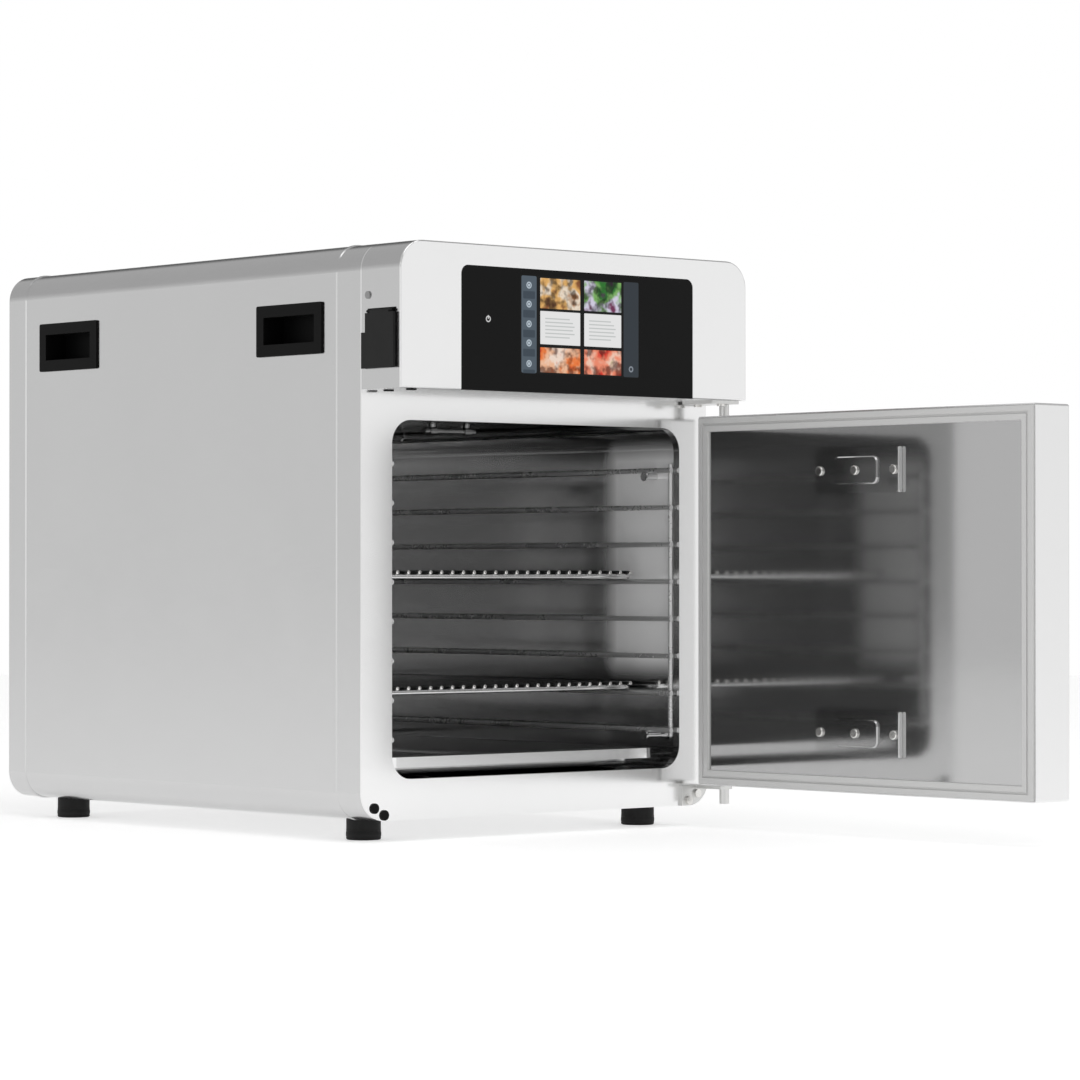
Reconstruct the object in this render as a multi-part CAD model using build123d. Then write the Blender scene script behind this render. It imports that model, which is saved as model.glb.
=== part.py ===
from build123d import *
import math
import os

# Compact counter-top low-temperature oven, as an assembly of separate pieces.
# Millimetres. X runs to the right, Y to the rear, Z up. The origin is the middle of
# the four feet, on the surface that they stand on.

# ---- Cabinet
body_width = 430.0
body_height = 524.4
casing_depth = 567.0
casing_sheet = 1.2
casing_radius = 25.5
bead_height = 0.9
bead_width = 4.0
bead_crest = 1.6
bead_from_front = 37.0
bead_from_rear = 29.0
foot_diameter = 32.0
foot_height = 20.0
foot_inset_x = 43.6
foot_inset_y = 51.0
foot_bore = 12.0
foot_bore_depth = 7.0
foot_pocket = 10.0
foot_web = 8.0
foot_shank = 5.0
foot_screw_head = 9.0
foot_nut = 4.0

# ---- Front frame and oven cavity
frame_sheet = 1.5
opening_step_x = 6.7
opening_step_z = 5.0
opening_radius = 22.0
lip_depth = 8.0
cavity_wall = 29.0
cavity_lift = 32.0
cavity_under_head = 21.0
cavity_rear_gap = 42.0
cavity_radius = 25.0
liner_sheet = 1.0
liner_flange = 8.0
pan_rail_height = 5.6
pan_rail_width = 6.0
pan_rail_inset = 66.0
cable_diameter = 4.0
cable_gap = 0.3
cable_count = 9
insulation_thickness = 19.0
insulation_setback = 14.0

# ---- Control head
head_height = 133.4
head_projection = 56.0
head_plate = 2.0
head_sheet = 1.5
glass_width = 288.2
glass_height = 113.5
glass_thickness = 3.0
glass_radius = 8.0
carrier_thickness = 4.2
carrier_margin = 6.0
display_width = 146.0
display_height = 90.2
display_bottom = 17.5
head_window_side = 25.9
head_window_edge = 24.0
head_screw_inset = 9.7
head_screw_drop = 48.4
display_depth = 9.0
board_sheet = 1.6
board_gap = 9.0
deck_sheet = 1.0
deck_flange = 12.0
deck_gap = 2.0

# ---- Door, given as it is when closed
door_side_gap = 0.5
door_lift = 21.4
door_under_head = 15.3
door_thickness = 46.0
door_gap = 3.0
door_sheet = 1.2
door_edge_radius = 2.0
gasket_width = 13.6
gasket_proud = 2.4
hinge_inset = 5.6
hinge_from_inner_face = 28.9
door_open_angle = 90.4
bushing_radius = 4.0
bushing_flange = 0.8
bushing_length = 14.0
journal_radius = 2.5
journal_clearance = 0.05
collar_radius = 4.75
thrust_gap = 0.3
washer = 0.8
bottom_pin_drop = 19.1
bracket_plate = 3.0
bracket_width = 35.0
neck = 7.0
handle_length = 210.0
handle_diameter = 16.0
handle_standoff = 28.0
handle_inset = 62.0
handle_post = 12.0
handle_post_inset = 25.0
magnet_length = 60.0
magnet_offset = 90.0
magnet_inset = 24.0

# ---- Door vents, measured from the hinge axis towards the free edge
vent_centre = 207.0
vent_from_door_end = 55.65
vent_hole_shift = 6.0
vent_cover_length = 104.0
vent_cover_height = 42.0
vent_cover_sheet = 1.2
vent_channel = 1.4
vent_hood_length = 56.0
vent_hood_height = 26.0
vent_hood_rise = 2.4
vent_screw_pitch = 47.0
vent_slide_sheet = 1.0
vent_slide_height = 30.0
vent_slide_play = 0.2
vent_travel = 14.0
vent_tab = 4.2
vent_hole_length = 26.0
vent_hole_height = 12.0
duct_wall = 1.0

# ---- Racks, shelves and drip pan
wire = 5.0
rung_pitch = 36.0
rung_lift = 40.8
rung_headroom = 40.0
rung_overhang = 6.0
rack_inset = 11.5
rack_front = 12.0
rack_rear_gap = 20.0
stud_inset = 28.0
stud_drop = 3.1
weld = 0.4
shelf_play = 1.5
shelf_front = 59.0
shelf_rear_gap = 36.0
shelf_corner = 14.0
shelf_wire = 3.6
shelf_wires = 26
shelf_cross_wires = 3
shelf_levels = (1, 4)
pan_inset = 16.0
pan_front = 22.0
pan_rear_gap = 25.0
pan_sheet = 1.0
pan_rim = 6.0
pan_flange = 30.0
pan_lip = 9.5
pan_rise = 23.8
pan_corner = 12.0
pan_fold = 5.0
slide_gap = 0.3

# ---- Carry handles, service pieces
pocket_width = 98.0
pocket_height = 47.5
pocket_bezel = 2.0
pocket_border = 11.0
pocket_depth = 24.0
pocket_wall = 2.0
pocket_from_front = 105.3
pocket_drop = 98.4
usb_front = 49.3
usb_rear = 3.8
usb_low = 18.5
usb_high = 73.0
usb_notch_rise = 51.0
usb_notch = 5.5
usb_base = 0.8
usb_cover = 2.6
fan_size = 80.0
fan_depth = 25.0
fan_x = -110.0
inlet_x = 120.0
clearance = 0.3
screw_diameter = 4.0
rear_screw_inset = 14.0
rear_screw_end = 70.0
sensor_from_front = 190.0
sensor_x = 48.0
sensor_length = 64.0
sensor_drop = 5.6
limiter_x = 110.0
limiter_from_front = 250.0

# ---- Places that follow from the sizes above
half_width = body_width / 2
casing_bottom = foot_height
casing_top = casing_bottom + body_height
casing_middle = (casing_bottom + casing_top) / 2
front_y = -casing_depth / 2
rear_y = front_y + casing_depth
foot_x = half_width - foot_inset_x
foot_y = casing_depth / 2 - foot_inset_y
head_bottom = casing_top - head_height
cavity_width = body_width - 2 * cavity_wall
cavity_bottom = casing_bottom + cavity_lift
cavity_top = head_bottom - cavity_under_head
cavity_height = cavity_top - cavity_bottom
cavity_depth = casing_depth - cavity_rear_gap
cavity_middle = (cavity_bottom + cavity_top) / 2
cavity_rear = front_y + cavity_depth
opening_width = cavity_width - 2 * opening_step_x
opening_height = cavity_height - 2 * opening_step_z
opening_bottom = cavity_bottom + opening_step_z
opening_middle = opening_bottom + opening_height / 2
liner_top = cavity_top + liner_sheet
head_front = front_y - head_projection
plate_rear = head_front + head_plate
glass_rear = head_front + glass_thickness
insulation_offset = cable_diameter + 2 * cable_gap
deck_z = liner_top + insulation_offset + insulation_thickness + deck_gap
compartment_middle = (deck_z + casing_top) / 2
fan_z = compartment_middle + deck_gap
rear_panel_y = rear_y - 2.0
sensor_y = front_y + sensor_from_front
limiter_y = front_y + limiter_from_front
door_width = body_width - 2 * door_side_gap
door_bottom = casing_bottom + door_lift
door_top = head_bottom - door_under_head
door_height = door_top - door_bottom
door_half = door_width / 2
door_middle = (door_bottom + door_top) / 2
door_inner_y = front_y - door_gap
door_outer_y = door_inner_y - door_thickness
hinge_x = door_half - hinge_inset
hinge_y = door_inner_y - hinge_from_inner_face
lower_shoulder_z = door_bottom - bushing_flange - thrust_gap
upper_shoulder_z = door_top + bushing_flange + thrust_gap
arm_top = lower_shoulder_z - washer
arm_bottom = arm_top - bracket_plate
vent_offset_z = door_height / 2 - vent_from_door_end
lowest_rung = cavity_bottom + rung_lift
rung_count = 1 + int((cavity_height - rung_lift - rung_headroom) / rung_pitch)
rack_half_width = cavity_width / 2 - rack_inset
rack_rear = cavity_depth - rack_rear_gap
rod_x = rack_half_width + wire - weld
shelf_half_width = rack_half_width - shelf_play
shelf_depth = cavity_depth - shelf_front - shelf_rear_gap
pan_half_width = cavity_width / 2 - pan_inset
pan_length = cavity_depth - pan_front - pan_rear_gap
pan_top = cavity_bottom + pan_rise
pocket_bottom = casing_top - pocket_drop
usb_bottom = head_bottom + usb_low
usb_top = head_bottom + usb_high
usb_notch_z = head_bottom + usb_notch_rise
flap_axis_x = -half_width - usb_base - clearance - usb_cover / 2
flap_axis_z = usb_top - 3.0


def block(x0, x1, y0, y1, z0, z1):
    # A box between two opposite corners.
    return Pos((x0 + x1) / 2, (y0 + y1) / 2, (z0 + z1) / 2) * Box(x1 - x0, y1 - y0, z1 - z0)


def rod(start, end, diameter):
    # A round bar between two points.
    run = Vector(end) - Vector(start)
    low = (Align.CENTER, Align.CENTER, Align.MIN)
    return Plane(origin=start, z_dir=run) * Cylinder(diameter / 2, run.length, align=low)


def prism(width, height, radius, y0, y1, x, z):
    # A bar along Y whose section is a rectangle with rounded corners.
    section = Plane(origin=(x, y0, z), x_dir=(1, 0, 0), z_dir=(0, 1, 0))
    return extrude(section * RectangleRounded(width, height, radius), y1 - y0)


def body_prism(inset, y0, y1):
    # The cabinet's own section, drawn in by an inset.
    radius = casing_radius - inset
    return prism(
        body_width - 2 * inset, body_height - 2 * inset, radius, y0, y1, 0, casing_middle
    )


def opening_prism(grow, y0, y1):
    return prism(
        opening_width + 2 * grow,
        opening_height + 2 * grow,
        opening_radius + grow,
        y0,
        y1,
        0,
        opening_middle,
    )


def cavity_prism(grow, y0, y1):
    return prism(
        cavity_width + 2 * grow,
        cavity_height + 2 * grow,
        cavity_radius + grow,
        y0,
        y1,
        0,
        cavity_middle,
    )


def mirrored(shape):
    # The same piece on the other side of the cabinet.
    return mirror(shape, about=Plane.YZ)


def swung(shape):
    # A door piece moved from the closed door to the door as it stands open.
    hinge = Pos(hinge_x, hinge_y, 0)
    return hinge * Rot(0, 0, door_open_angle) * hinge.inverse() * shape


def save(name, *shapes):
    solids = [solid for shape in shapes for solid in shape.solids()]
    whole = solids[0] if len(solids) == 1 else Compound(children=solids)
    export_step(whole, f"parts/{name}.step")


# ---- Casing


def pocket_middle_y(end):
    reach = casing_depth / 2 - pocket_from_front
    return reach * end


def pocket_seat(end, grow):
    # The space that a carry handle's cup takes in the left wall.
    y = pocket_middle_y(end)
    x = -half_width
    half = pocket_width / 2 - pocket_border / 3 + grow
    z0 = pocket_bottom + pocket_border / 3 - grow
    z1 = pocket_bottom + pocket_height - pocket_border / 3 + grow
    return block(x - 1, x + pocket_depth + pocket_wall, y - half, y + half, z0, z1)


def bead(y):
    # A rolled bead round the casing: two sloping flanks and a narrow crest.
    run = (bead_width - bead_crest) / 2
    slope = math.degrees(math.atan2(bead_height, run))
    ring = body_prism(-bead_height, y - bead_crest / 2, y + bead_crest / 2)
    for way in (-1, 1):
        base = Plane(origin=(0, y + way * bead_width / 2, casing_middle), x_dir=(1, 0, 0), z_dir=(0, -way, 0))
        outline = RectangleRounded(body_width, body_height, casing_radius)
        ring += extrude(base * outline, run, taper=-slope)
    return ring - body_prism(casing_sheet / 2, y - bead_width, y + bead_width)


def outer_casing():
    y0 = front_y + frame_sheet
    wrap = body_prism(0, y0, rear_y) - body_prism(casing_sheet, y0, rear_y)
    for y in (front_y + bead_from_front, rear_y - bead_from_rear):
        wrap += bead(y)
    for end in (-1, 1):
        seat = pocket_seat(end, clearance)
        wrap -= seat
        wrap -= mirrored(seat)
    for x in (-foot_x, foot_x):
        for y in (-foot_y, foot_y):
            wrap -= rod((x, y, casing_bottom - 1), (x, y, casing_bottom + 2), foot_shank + 0.4)
            wrap -= rod((x, y, casing_bottom - 1), (x, y, casing_bottom), foot_diameter + 1)
    for clip in rear_clips():
        wrap += clip
    return wrap


def pocket_handle(end):
    # A black cup with a flat bezel, let into the left wall: fingers go up behind its lip.
    y = pocket_middle_y(end)
    x = -half_width
    half = pocket_width / 2
    z0 = pocket_bottom
    z1 = pocket_bottom + pocket_height
    cup = pocket_seat(end, 0) & block(x, x + 60, y - half, y + half, z0, z1)
    bezel = block(x - pocket_bezel, x, y - half, y + half, z0, z1)
    bezel = fillet(bezel.edges().filter_by(Axis.X), 2.0)
    mouth = block(
        x - 5,
        x + pocket_depth - pocket_wall,
        y - half + pocket_border,
        y + half - pocket_border,
        z0 + pocket_border,
        z1 - pocket_border,
    )
    hook = block(
        x + 8,
        x + pocket_depth - pocket_wall,
        y - half + pocket_border,
        y + half - pocket_border,
        z1 - pocket_border - 1,
        z1 - pocket_border / 3 - pocket_wall,
    )
    return bezel + cup - mouth - hook


def foot(x, y):
    rubber = rod((x, y, 0), (x, y, foot_height), foot_diameter)
    rubber = fillet(rubber.edges().filter_by(GeomType.CIRCLE), 1.5)
    rubber -= rod((x, y, -1), (x, y, foot_bore_depth), foot_bore)
    rubber -= rod((x, y, 0), (x, y, foot_height - foot_web), foot_pocket)
    return rubber - rod((x, y, 0), (x, y, foot_height + 1), foot_shank + 0.4)


def foot_screw(x, y):
    seat = foot_height - foot_web
    head = rod((x, y, seat - 4), (x, y, seat), foot_screw_head)
    nut_z = casing_bottom + casing_sheet
    shank = rod((x, y, seat), (x, y, nut_z + foot_nut + 0.4), foot_shank)
    nut = Pos(x, y, nut_z) * extrude(RegularPolygon(foot_screw_head / 2 + 0.1, 6), foot_nut)
    return head + shank + nut


# ---- Rear wall


def rear_screw_spots():
    x = half_width - rear_screw_inset
    for z in (casing_bottom + rear_screw_end, casing_middle, casing_top - rear_screw_end):
        yield -x, z
        yield x, z


def rear_panel():
    front = rear_panel_y - casing_sheet
    plate = body_prism(casing_sheet, front, rear_panel_y)
    for column in range(7):
        x = fan_x - fan_size / 2 + 10 + column * 10
        plate -= prism(4, fan_size - 20, 1.9, front - 1, rear_y, x, fan_z)
    for row in range(6):
        plate -= prism(70, 4, 1.9, front - 1, rear_y, inlet_x - 90, fan_z - 25 + row * 10)
    plate -= block(inlet_x - 14.2, inlet_x + 14.2, front - 1, rear_y, fan_z - 10.2, fan_z + 10.2)
    for x, z in rear_screw_spots():
        plate -= rod((x, front - 1, z), (x, rear_y, z), screw_diameter + 0.4)
    return plate


def rear_screws():
    front = rear_panel_y - casing_sheet
    for x, z in rear_screw_spots():
        head = rod((x, rear_panel_y, z), (x, rear_panel_y + 2.2, z), 8.0)
        yield head + rod((x, front - 6, z), (x, rear_panel_y, z), screw_diameter)


def rear_clips():
    # Angle brackets welded inside the casing's side walls, for the rear panel's screws.
    front = rear_panel_y - casing_sheet
    wall = half_width - casing_sheet
    for x, z in rear_screw_spots():
        side = 1 if x > 0 else -1
        inner = side * (wall - 22)
        tab = block(min(inner, side * wall), max(inner, side * wall), front - 2, front, z - 12, z + 12)
        leg_x = side * (wall - 2)
        leg = block(min(leg_x, side * wall), max(leg_x, side * wall), front - 16, front, z - 12, z + 12)
        yield tab + leg - rod((x, front - 20, z), (x, front + 1, z), screw_diameter + 0.2)


def power_inlet():
    front = rear_panel_y - casing_sheet
    face = prism(50, 24, 3, rear_panel_y, rear_panel_y + 1.8, inlet_x, fan_z)
    body = block(inlet_x - 13.9, inlet_x + 13.9, front - 20, rear_panel_y, fan_z - 9.9, fan_z + 9.9)
    recess = prism(24.4, 16.6, 3, front - 18, rear_y + 1, inlet_x, fan_z)
    inlet = face + body - recess
    for dx, dz in ((-7, -2), (0, 3), (7, -2)):
        x = inlet_x + dx
        z = fan_z + dz
        inlet += block(x - 1, x + 1, front - 18.5, front - 5, z - 2, z + 2)
    return inlet


# ---- Frame, cavity and insulation


def bottom_bracket_spots():
    return [(half_width - 15.0, casing_bottom + 11.6), (half_width - 26.5, casing_bottom + 5.1)]


def front_frame():
    back = front_y + frame_sheet
    plate = body_prism(0, front_y, back) - opening_prism(0, front_y - 1, back + 1)
    lip = opening_prism(frame_sheet, front_y, front_y + lip_depth)
    plate += lip - opening_prism(0, front_y - 1, front_y + lip_depth + 1)
    side = glass_width / 2 + head_window_side
    low = head_bottom + head_window_edge
    window = block(-side, side, front_y - 1, back + 1, low, casing_top - head_window_edge)
    plate -= window
    for x, z in bottom_bracket_spots():
        for side in (-1, 1):
            plate -= rod((side * x, front_y - 1, z), (side * x, back + 1, z), screw_diameter + 1.4)
    return plate


def cavity_liner():
    y0 = front_y + frame_sheet
    back = cavity_rear + liner_sheet
    shell = cavity_prism(liner_sheet, y0, back) - cavity_prism(0, y0 - 1, cavity_rear)
    flange = cavity_prism(liner_flange, y0, y0 + liner_sheet)
    shell += flange - cavity_prism(0, y0 - 1, y0 + 2)
    for side in (-1, 1):
        x = side * (cavity_width / 2 - pan_rail_inset)
        half = pan_rail_width / 2
        top = cavity_bottom + pan_rail_height
        rail = block(x - half, x + half, y0 + 20, cavity_rear - 20, cavity_bottom - 0.5, top)
        shell += fillet(rail.edges().filter_by(Axis.Z), 2.5)
    for x in sensor_hanger_spots():
        shell -= rod((x, sensor_y, liner_top - 5), (x, sensor_y, liner_top + 1), 3.4)
    for side in (-1, 1):
        for y, z in stud_spots():
            wall = side * cavity_width / 2
            shell -= rod((wall - 2, y, z), (wall + 2, y, z), 4.2)
    return shell


def cavity_insulation():
    y0 = front_y + insulation_setback
    inner = liner_sheet + insulation_offset
    outer = inner + insulation_thickness
    back = cavity_rear + outer
    blanket = cavity_prism(outer, y0, back) - cavity_prism(inner, y0 - 1, cavity_rear + inner)
    blanket -= rod((limiter_x, limiter_y, liner_top), (limiter_x, limiter_y, deck_z), 8)
    return blanket


def heating_cable():
    # Closed loops of flat-laid cable round the liner, evenly spaced.
    inner = liner_sheet + cable_gap
    outer = inner + cable_diameter
    first = front_y + insulation_setback + 24
    pitch = (cavity_depth - insulation_setback - 60) / (cable_count - 1)
    for index in range(cable_count):
        y = first + index * pitch
        half = cable_diameter / 2
        yield cavity_prism(outer, y - half, y + half) - cavity_prism(inner, y - half - 1, y + half + 1)


# ---- Racks, shelves and pan


def rung_heights():
    return [lowest_rung + index * rung_pitch for index in range(rung_count)]


def stud_spots():
    # Under the top and the bottom rung, near the front and near the rear.
    heights = (rung_heights()[0], rung_heights()[-1])
    return [
        (front_y + y, z - wire / 2 - stud_drop)
        for y in (rack_front + stud_inset, rack_rear - stud_inset)
        for z in heights
    ]


def side_rack():
    # Rungs from front to rear, welded to an upright wire behind each end.
    heights = rung_heights()
    y0 = front_y + rack_front
    y1 = front_y + rack_rear
    rack = None
    for z in heights:
        ends = (y0 - rung_overhang, y1 + rung_overhang)
        rung = rod((rack_half_width, ends[0], z), (rack_half_width, ends[1], z), wire)
        rack = rung if rack is None else rack + rung
    for y in (y0, y1):
        low = heights[0] - rung_overhang
        rack += rod((rod_x, y, low), (rod_x, y, heights[-1] + rung_overhang), wire)
    return rack


def rack_studs():
    wall = cavity_width / 2
    for y, z in stud_spots():
        shank = rod((rack_half_width - 3, y, z), (wall, y, z), 2 * (stud_drop - 0.1))
        head = rod((rack_half_width - 5, y, z), (rack_half_width - 3, y, z), 9.0)
        tail = rod((wall, y, z), (wall + liner_sheet, y, z), 4.0)
        yield shank + head + tail


def wire_shelf(level):
    # A bent perimeter wire with cross bars under a field of thin wires.
    rise = (wire**2 - (rack_half_width - shelf_half_width) ** 2) ** 0.5
    z = rung_heights()[level] + rise + slide_gap
    y0 = front_y + shelf_front
    y1 = y0 + shelf_depth
    middle = Plane(origin=(0, (y0 + y1) / 2, z))
    outline = middle * RectangleRounded(2 * shelf_half_width, shelf_depth, shelf_corner)
    path = outline.wire()
    section = Plane(origin=path @ 0, z_dir=path % 0) * Circle(wire / 2)
    grid = sweep(section, path=path)
    for index in range(shelf_cross_wires):
        y = y0 + (index + 1) * shelf_depth / (shelf_cross_wires + 1)
        grid += rod((-shelf_half_width, y, z), (shelf_half_width, y, z), wire - 1)
    top = z + wire / 2 + shelf_wire / 2 - weld
    span = shelf_half_width - wire - 1
    pitch = 2 * span / (shelf_wires - 1)
    for index in range(shelf_wires):
        x = -span + index * pitch
        grid += rod((x, y0 - wire / 2, top), (x, y1 + wire / 2, top), shelf_wire)
    return grid


def drip_pan():
    bottom = cavity_bottom + pan_rail_height + slide_gap
    y0 = front_y + pan_front
    y1 = y0 + pan_length
    wall = pan_half_width - pan_rim
    pan = block(-wall, wall, y0 + pan_flange, y1 - pan_rim, bottom, pan_top)
    pan = fillet(pan.edges().filter_by(Axis.Z), pan_corner)
    pan = fillet(pan.edges().group_by(Axis.Z)[0], pan_fold)
    inner = wall - pan_sheet
    hollow = block(
        -inner,
        inner,
        y0 + pan_flange + pan_sheet,
        y1 - pan_rim - pan_sheet,
        bottom + pan_sheet,
        pan_top + 1,
    )
    hollow = fillet(hollow.edges().filter_by(Axis.Z), pan_corner - pan_sheet)
    hollow = fillet(hollow.edges().group_by(Axis.Z)[0], pan_fold - pan_sheet)
    rim = block(-pan_half_width, pan_half_width, y0, y1, pan_top - pan_lip, pan_top)
    rim = fillet(rim.edges().filter_by(Axis.Z), pan_corner + 2)
    under = block(
        pan_sheet - pan_half_width,
        pan_half_width - pan_sheet,
        y0 + pan_sheet,
        y1 - pan_sheet,
        pan_top - pan_lip - 1,
        pan_top - pan_sheet,
    )
    under = fillet(under.edges().filter_by(Axis.Z), pan_corner + 2 - pan_sheet)
    return (rim - under) + pan - hollow


# ---- Sensor and limiter


def sensor_hanger_spots():
    reach = sensor_length / 2 - 10
    return (sensor_x - reach, sensor_x + reach)


def air_sensor():
    # A thin probe hung under the cavity's ceiling by two clips on studs.
    z = cavity_top - sensor_drop
    half = sensor_length / 2
    probe = rod((sensor_x - half, sensor_y, z), (sensor_x + half, sensor_y, z), 6.0)
    for x in sensor_hanger_spots():
        probe += rod((x - 4, sensor_y, z), (x + 4, sensor_y, z), 9.0)
        probe += rod((x, sensor_y, z), (x, sensor_y, liner_top + 2), 3.0)
        probe += rod((x, sensor_y, cavity_top - 2), (x, sensor_y, cavity_top), 9.0)
    return probe


def limit_thermostat():
    # A manual-reset limiter on the deck, whose probe reaches down to the liner.
    base = deck_z + deck_sheet
    x = limiter_x
    y = limiter_y
    body = block(x - 16, x + 16, y - 14, y + 14, base, base + 26)
    body += rod((x, y, base + 26), (x, y, base + 34), 9)
    for dx in (-9, 9):
        body += block(x + dx - 3, x + dx + 3, y + 14, y + 22, base + 12, base + 12.8)
    return body + rod((x, y, liner_top + 0.2), (x, y, base + 1), 6)


# ---- Control compartment


def control_deck():
    wall = half_width - casing_sheet
    y0 = front_y + frame_sheet + 14
    y1 = rear_panel_y - casing_sheet - 18
    deck = block(-wall, wall, y0, y1, deck_z, deck_z + deck_sheet)
    for side in (-1, 1):
        edge = side * wall
        inner = side * (wall - deck_sheet)
        low = min(edge, inner)
        deck += block(low, low + deck_sheet, y0, y1, deck_z, deck_z + deck_flange)
    hole = rod((limiter_x, limiter_y, deck_z - 1), (limiter_x, limiter_y, deck_z + 3), 7)
    return deck - hole


def power_board():
    # A circuit board on four posts, with its transformer, relays and capacitors.
    x0 = -150.0
    x1 = -30.0
    y0 = front_y + 110
    y1 = y0 + 150
    base = deck_z + deck_sheet
    z = base + 8
    board = block(x0, x1, y0, y1, z, z + board_sheet)
    for x in (x0 + 6, x1 - 6):
        for y in (y0 + 6, y1 - 6):
            board += rod((x, y, base), (x, y, z), 6)
    top = z + board_sheet
    board += block(x0 + 14, x0 + 58, y0 + 14, y0 + 52, top, top + 34)
    for index in range(3):
        y = y0 + 66 + index * 26
        board += block(x0 + 14, x0 + 34, y, y + 20, top, top + 16)
    for index in range(4):
        y = y0 + 30 + index * 28
        board += rod((x1 - 24, y, top), (x1 - 24, y, top + 20), 14)
    board += block(x1 - 66, x1 - 50, y0 + 20, y1 - 20, top, top + 12)
    return board


def terminal_block():
    x0 = 60.0
    y0 = rear_y - 130
    base = deck_z + deck_sheet
    strip = block(x0, x0 + 66, y0, y0 + 24, base, base + 10)
    for index in range(6):
        x = x0 + 3 + index * 10.6
        strip += block(x, x + 8, y0 + 3, y0 + 21, base + 10, base + 17)
        strip -= rod((x + 4, y0 + 12, base + 11), (x + 4, y0 + 12, base + 18), 5)
    return strip


def fan_frame():
    y1 = rear_panel_y - casing_sheet
    y0 = y1 - fan_depth
    half = fan_size / 2
    frame = prism(fan_size, fan_size, 5, y0, y1, fan_x, fan_z)
    frame -= rod((fan_x, y0 - 1, fan_z), (fan_x, y1 + 1, fan_z), fan_size - 4)
    for turn in range(3):
        spoke = block(-1.5, 1.5, y0, y0 + 2.5, 0, half - 1)
        frame += Pos(fan_x, 0, fan_z) * Rot(0, turn * 120, 0) * spoke
    frame += rod((fan_x, y0, fan_z), (fan_x, y0 + 4, fan_z), 30)
    frame += rod((fan_x, y0 + 4, fan_z), (fan_x, y0 + 16, fan_z), 4)
    for dx in (-1, 1):
        for dz in (-1, 1):
            x = fan_x + dx * (half - 4.2)
            z = fan_z + dz * (half - 4.2)
            frame -= rod((x, y0 - 1, z), (x, y1 + 1, z), 4.3)
    return frame


def fan_rotor():
    # A hub with a blind bearing bore and seven pitched blades.
    y0 = rear_panel_y - casing_sheet - fan_depth + 4 + clearance
    y1 = y0 + 18
    rotor = rod((fan_x, y0, fan_z), (fan_x, y1, fan_z), 30)
    for turn in range(7):
        blade = block(-7, 7, -0.8, 0.8, 13, fan_size / 2 - 3)
        blade = Pos(0, (y0 + y1) / 2, 0) * Rot(0, 0, 38) * blade
        rotor += Pos(fan_x, 0, fan_z) * Rot(0, turn * 360 / 7, 0) * blade
    bore = 4 + 2 * journal_clearance
    return rotor - rod((fan_x, y0 - 1, fan_z), (fan_x, y0 + 12 + clearance, fan_z), bore)


# ---- Control head


def head_prism(inset, y0, y1):
    # The cabinet's section above the head's lower edge.
    above = block(-half_width, half_width, y0, y1, head_bottom, casing_top)
    return body_prism(inset, y0, y1) & above


def usb_spot():
    # The middle of the service socket, on the head's left side.
    return front_y - (usb_front + usb_rear) / 2, (usb_bottom + usb_top) / 2 - 6


def head_shroud():
    shroud = head_prism(0, plate_rear, front_y) - body_prism(head_sheet, plate_rear - 1, front_y + 1)
    y, z = usb_spot()
    x = -half_width
    shroud -= block(x - 1, x + 3, y - 8.2, y + 8.2, z - 6.2, z + 6.2)
    for side in (-1, 1):
        at = side * half_width
        sy = front_y - head_screw_inset
        sz = casing_top - head_screw_drop
        shroud -= rod((at - 3, sy, sz), (at + 3, sy, sz), screw_diameter)
    return shroud


def glass_outline(grow, y0, y1):
    # Rounded at the top, square at the head's lower edge.
    height = glass_height + grow
    z = head_bottom + height / 2
    width = glass_width + 2 * grow
    tall = prism(width, height, glass_radius + grow, y0, y1, 0, z)
    return tall + block(-width / 2, width / 2, y0, y1, head_bottom, head_bottom + 2 * glass_radius)


def head_front_plate():
    plate = head_prism(0, head_front, plate_rear)
    rim = plate.edges().group_by(Axis.Y)[0]
    plate = fillet(rim, 1.2)
    return plate - glass_outline(clearance / 2, head_front - 1, plate_rear + 1)


def touch_glass():
    return glass_outline(0, head_front, glass_rear)


def display_outline(grow, y0, y1):
    z0 = head_bottom + display_bottom - grow
    z1 = head_bottom + display_bottom + display_height + grow
    half = display_width / 2 + grow
    return block(-half, half, y0, y1, z0, z1)


def glass_carrier():
    # The black frame behind the glass that holds it, the display and the board.
    back = glass_rear + carrier_thickness
    half = glass_width / 2 + carrier_margin
    z0 = head_bottom + head_sheet
    z1 = head_bottom + glass_height + carrier_margin
    frame = block(-half, half, glass_rear, back, z0, z1)
    return frame - display_outline(clearance, glass_rear - 1, back + 1)


def display_module():
    return display_outline(0, glass_rear, glass_rear + display_depth)


def control_board():
    back = glass_rear + carrier_thickness
    y = glass_rear + display_depth + board_gap
    z0 = head_bottom + 8
    z1 = head_bottom + 112
    board = block(-104, 104, y, y + board_sheet, z0, z1)
    for x in (-96, 96):
        for z in (z0 + 8, z1 - 8):
            board += rod((x, back, z), (x, y, z), 6)
    far = y + board_sheet
    board += block(-30, 10, far, far + 3, z0 + 36, z0 + 76)
    board += block(40, 84, far, far + 10, z0 + 20, z0 + 30)
    board += block(-84, -60, far, far + 7, z0 + 54, z0 + 90)
    return board


def head_underside():
    # The plate that closes the head from below and carries the upper hinge bracket.
    inner = half_width - head_sheet
    plate = block(-inner, inner, plate_rear, front_y, head_bottom, head_bottom + head_sheet)
    glass = glass_width / 2 + clearance
    plate -= block(-glass, glass, plate_rear - 1, glass_rear, head_bottom - 1, head_bottom + 3)
    for x, y in top_bracket_spots():
        for side in (-1, 1):
            at = side * x
            plate -= rod((at, y, head_bottom - 1), (at, y, head_bottom + 3), screw_diameter + 1.4)
    return plate


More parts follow.
